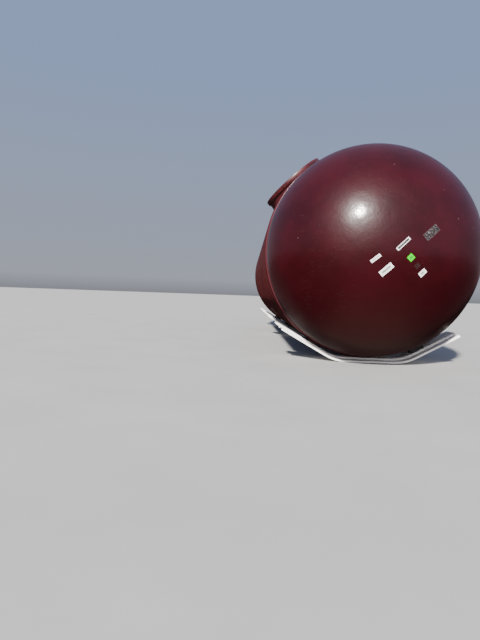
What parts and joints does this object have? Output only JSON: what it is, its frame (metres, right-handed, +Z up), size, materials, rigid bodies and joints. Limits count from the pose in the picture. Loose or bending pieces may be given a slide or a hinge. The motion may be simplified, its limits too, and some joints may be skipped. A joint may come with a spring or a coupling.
{
  "type": "horizontal fibreglass underground storage tank on shipping cradles",
  "caption": "Horizontal fibreglass tank with domed ends, ribbed barrel, containment collar round a bolted manway, lifting lugs and bent sheet-steel shipping cradles.",
  "frame": {"origin": "on the ground under the middle of the tank, at the bottom centre of its box", "axes": "+Y along the tank's axis, away from the pictured dome; +Z up; +X to the right as the pictured dome is looked at"},
  "size_m": [3.164, 11.277, 3.2646],
  "materials": {
    "gelcoat_dome": "satin-gloss dark maroon gelcoat",
    "gelcoat_barrel": "satin dark maroon resin",
    "rib_resin": "satin maroon wound fibreglass",
    "collar_resin": "brownish red laid-up fibreglass",
    "galvanised_sheet": "bright galvanised sheet steel",
    "pad_rubber": "matt black rubber",
    "cast_fitting": "dark cast steel"
  },
  "bodies": {
    "root": {"dome_front": "gelcoat_dome", "dome_rear": "gelcoat_dome", "barrel_front": "gelcoat_barrel", "barrel_rear": "gelcoat_barrel", "joint_band_middle": "gelcoat_barrel", "rib_01": "rib_resin", "rib_02": "rib_resin", "rib_03": "rib_resin", "rib_04": "rib_resin", "rib_05": "rib_resin", "rib_06": "rib_resin", "rib_07": "rib_resin", "rib_08": "rib_resin", "rib_09": "rib_resin", "rib_10": "rib_resin", "rib_11": "rib_resin", "rib_12": "rib_resin", "rib_13": "rib_resin", "rib_14": "rib_resin", "rib_15": "rib_resin", "rib_16": "rib_resin", "rib_17": "rib_resin", "rib_18": "rib_resin", "rib_19": "rib_resin", "rib_20": "rib_resin", "containment_collar": "collar_resin", "manway_neck": "collar_resin", "manway_cover": "gelcoat_barrel", "cover_fitting_1": "cast_fitting", "cover_fitting_2": "cast_fitting", "top_fitting_1": "cast_fitting", "top_fitting_2": "cast_fitting", "top_fitting_3": "cast_fitting", "lifting_lug_1": "collar_resin", "lifting_lug_2": "collar_resin", "lifting_lug_3": "collar_resin", "lifting_lug_4": "collar_resin", "cradle_front": "galvanised_sheet", "cradle_middle": "galvanised_sheet", "cradle_rear": "galvanised_sheet", "pad_front_left": "pad_rubber", "pad_front_right": "pad_rubber", "pad_middle_left": "pad_rubber", "pad_middle_right": "pad_rubber", "pad_rear_left": "pad_rubber", "pad_rear_right": "pad_rubber"}
  },
  "joints": []
}
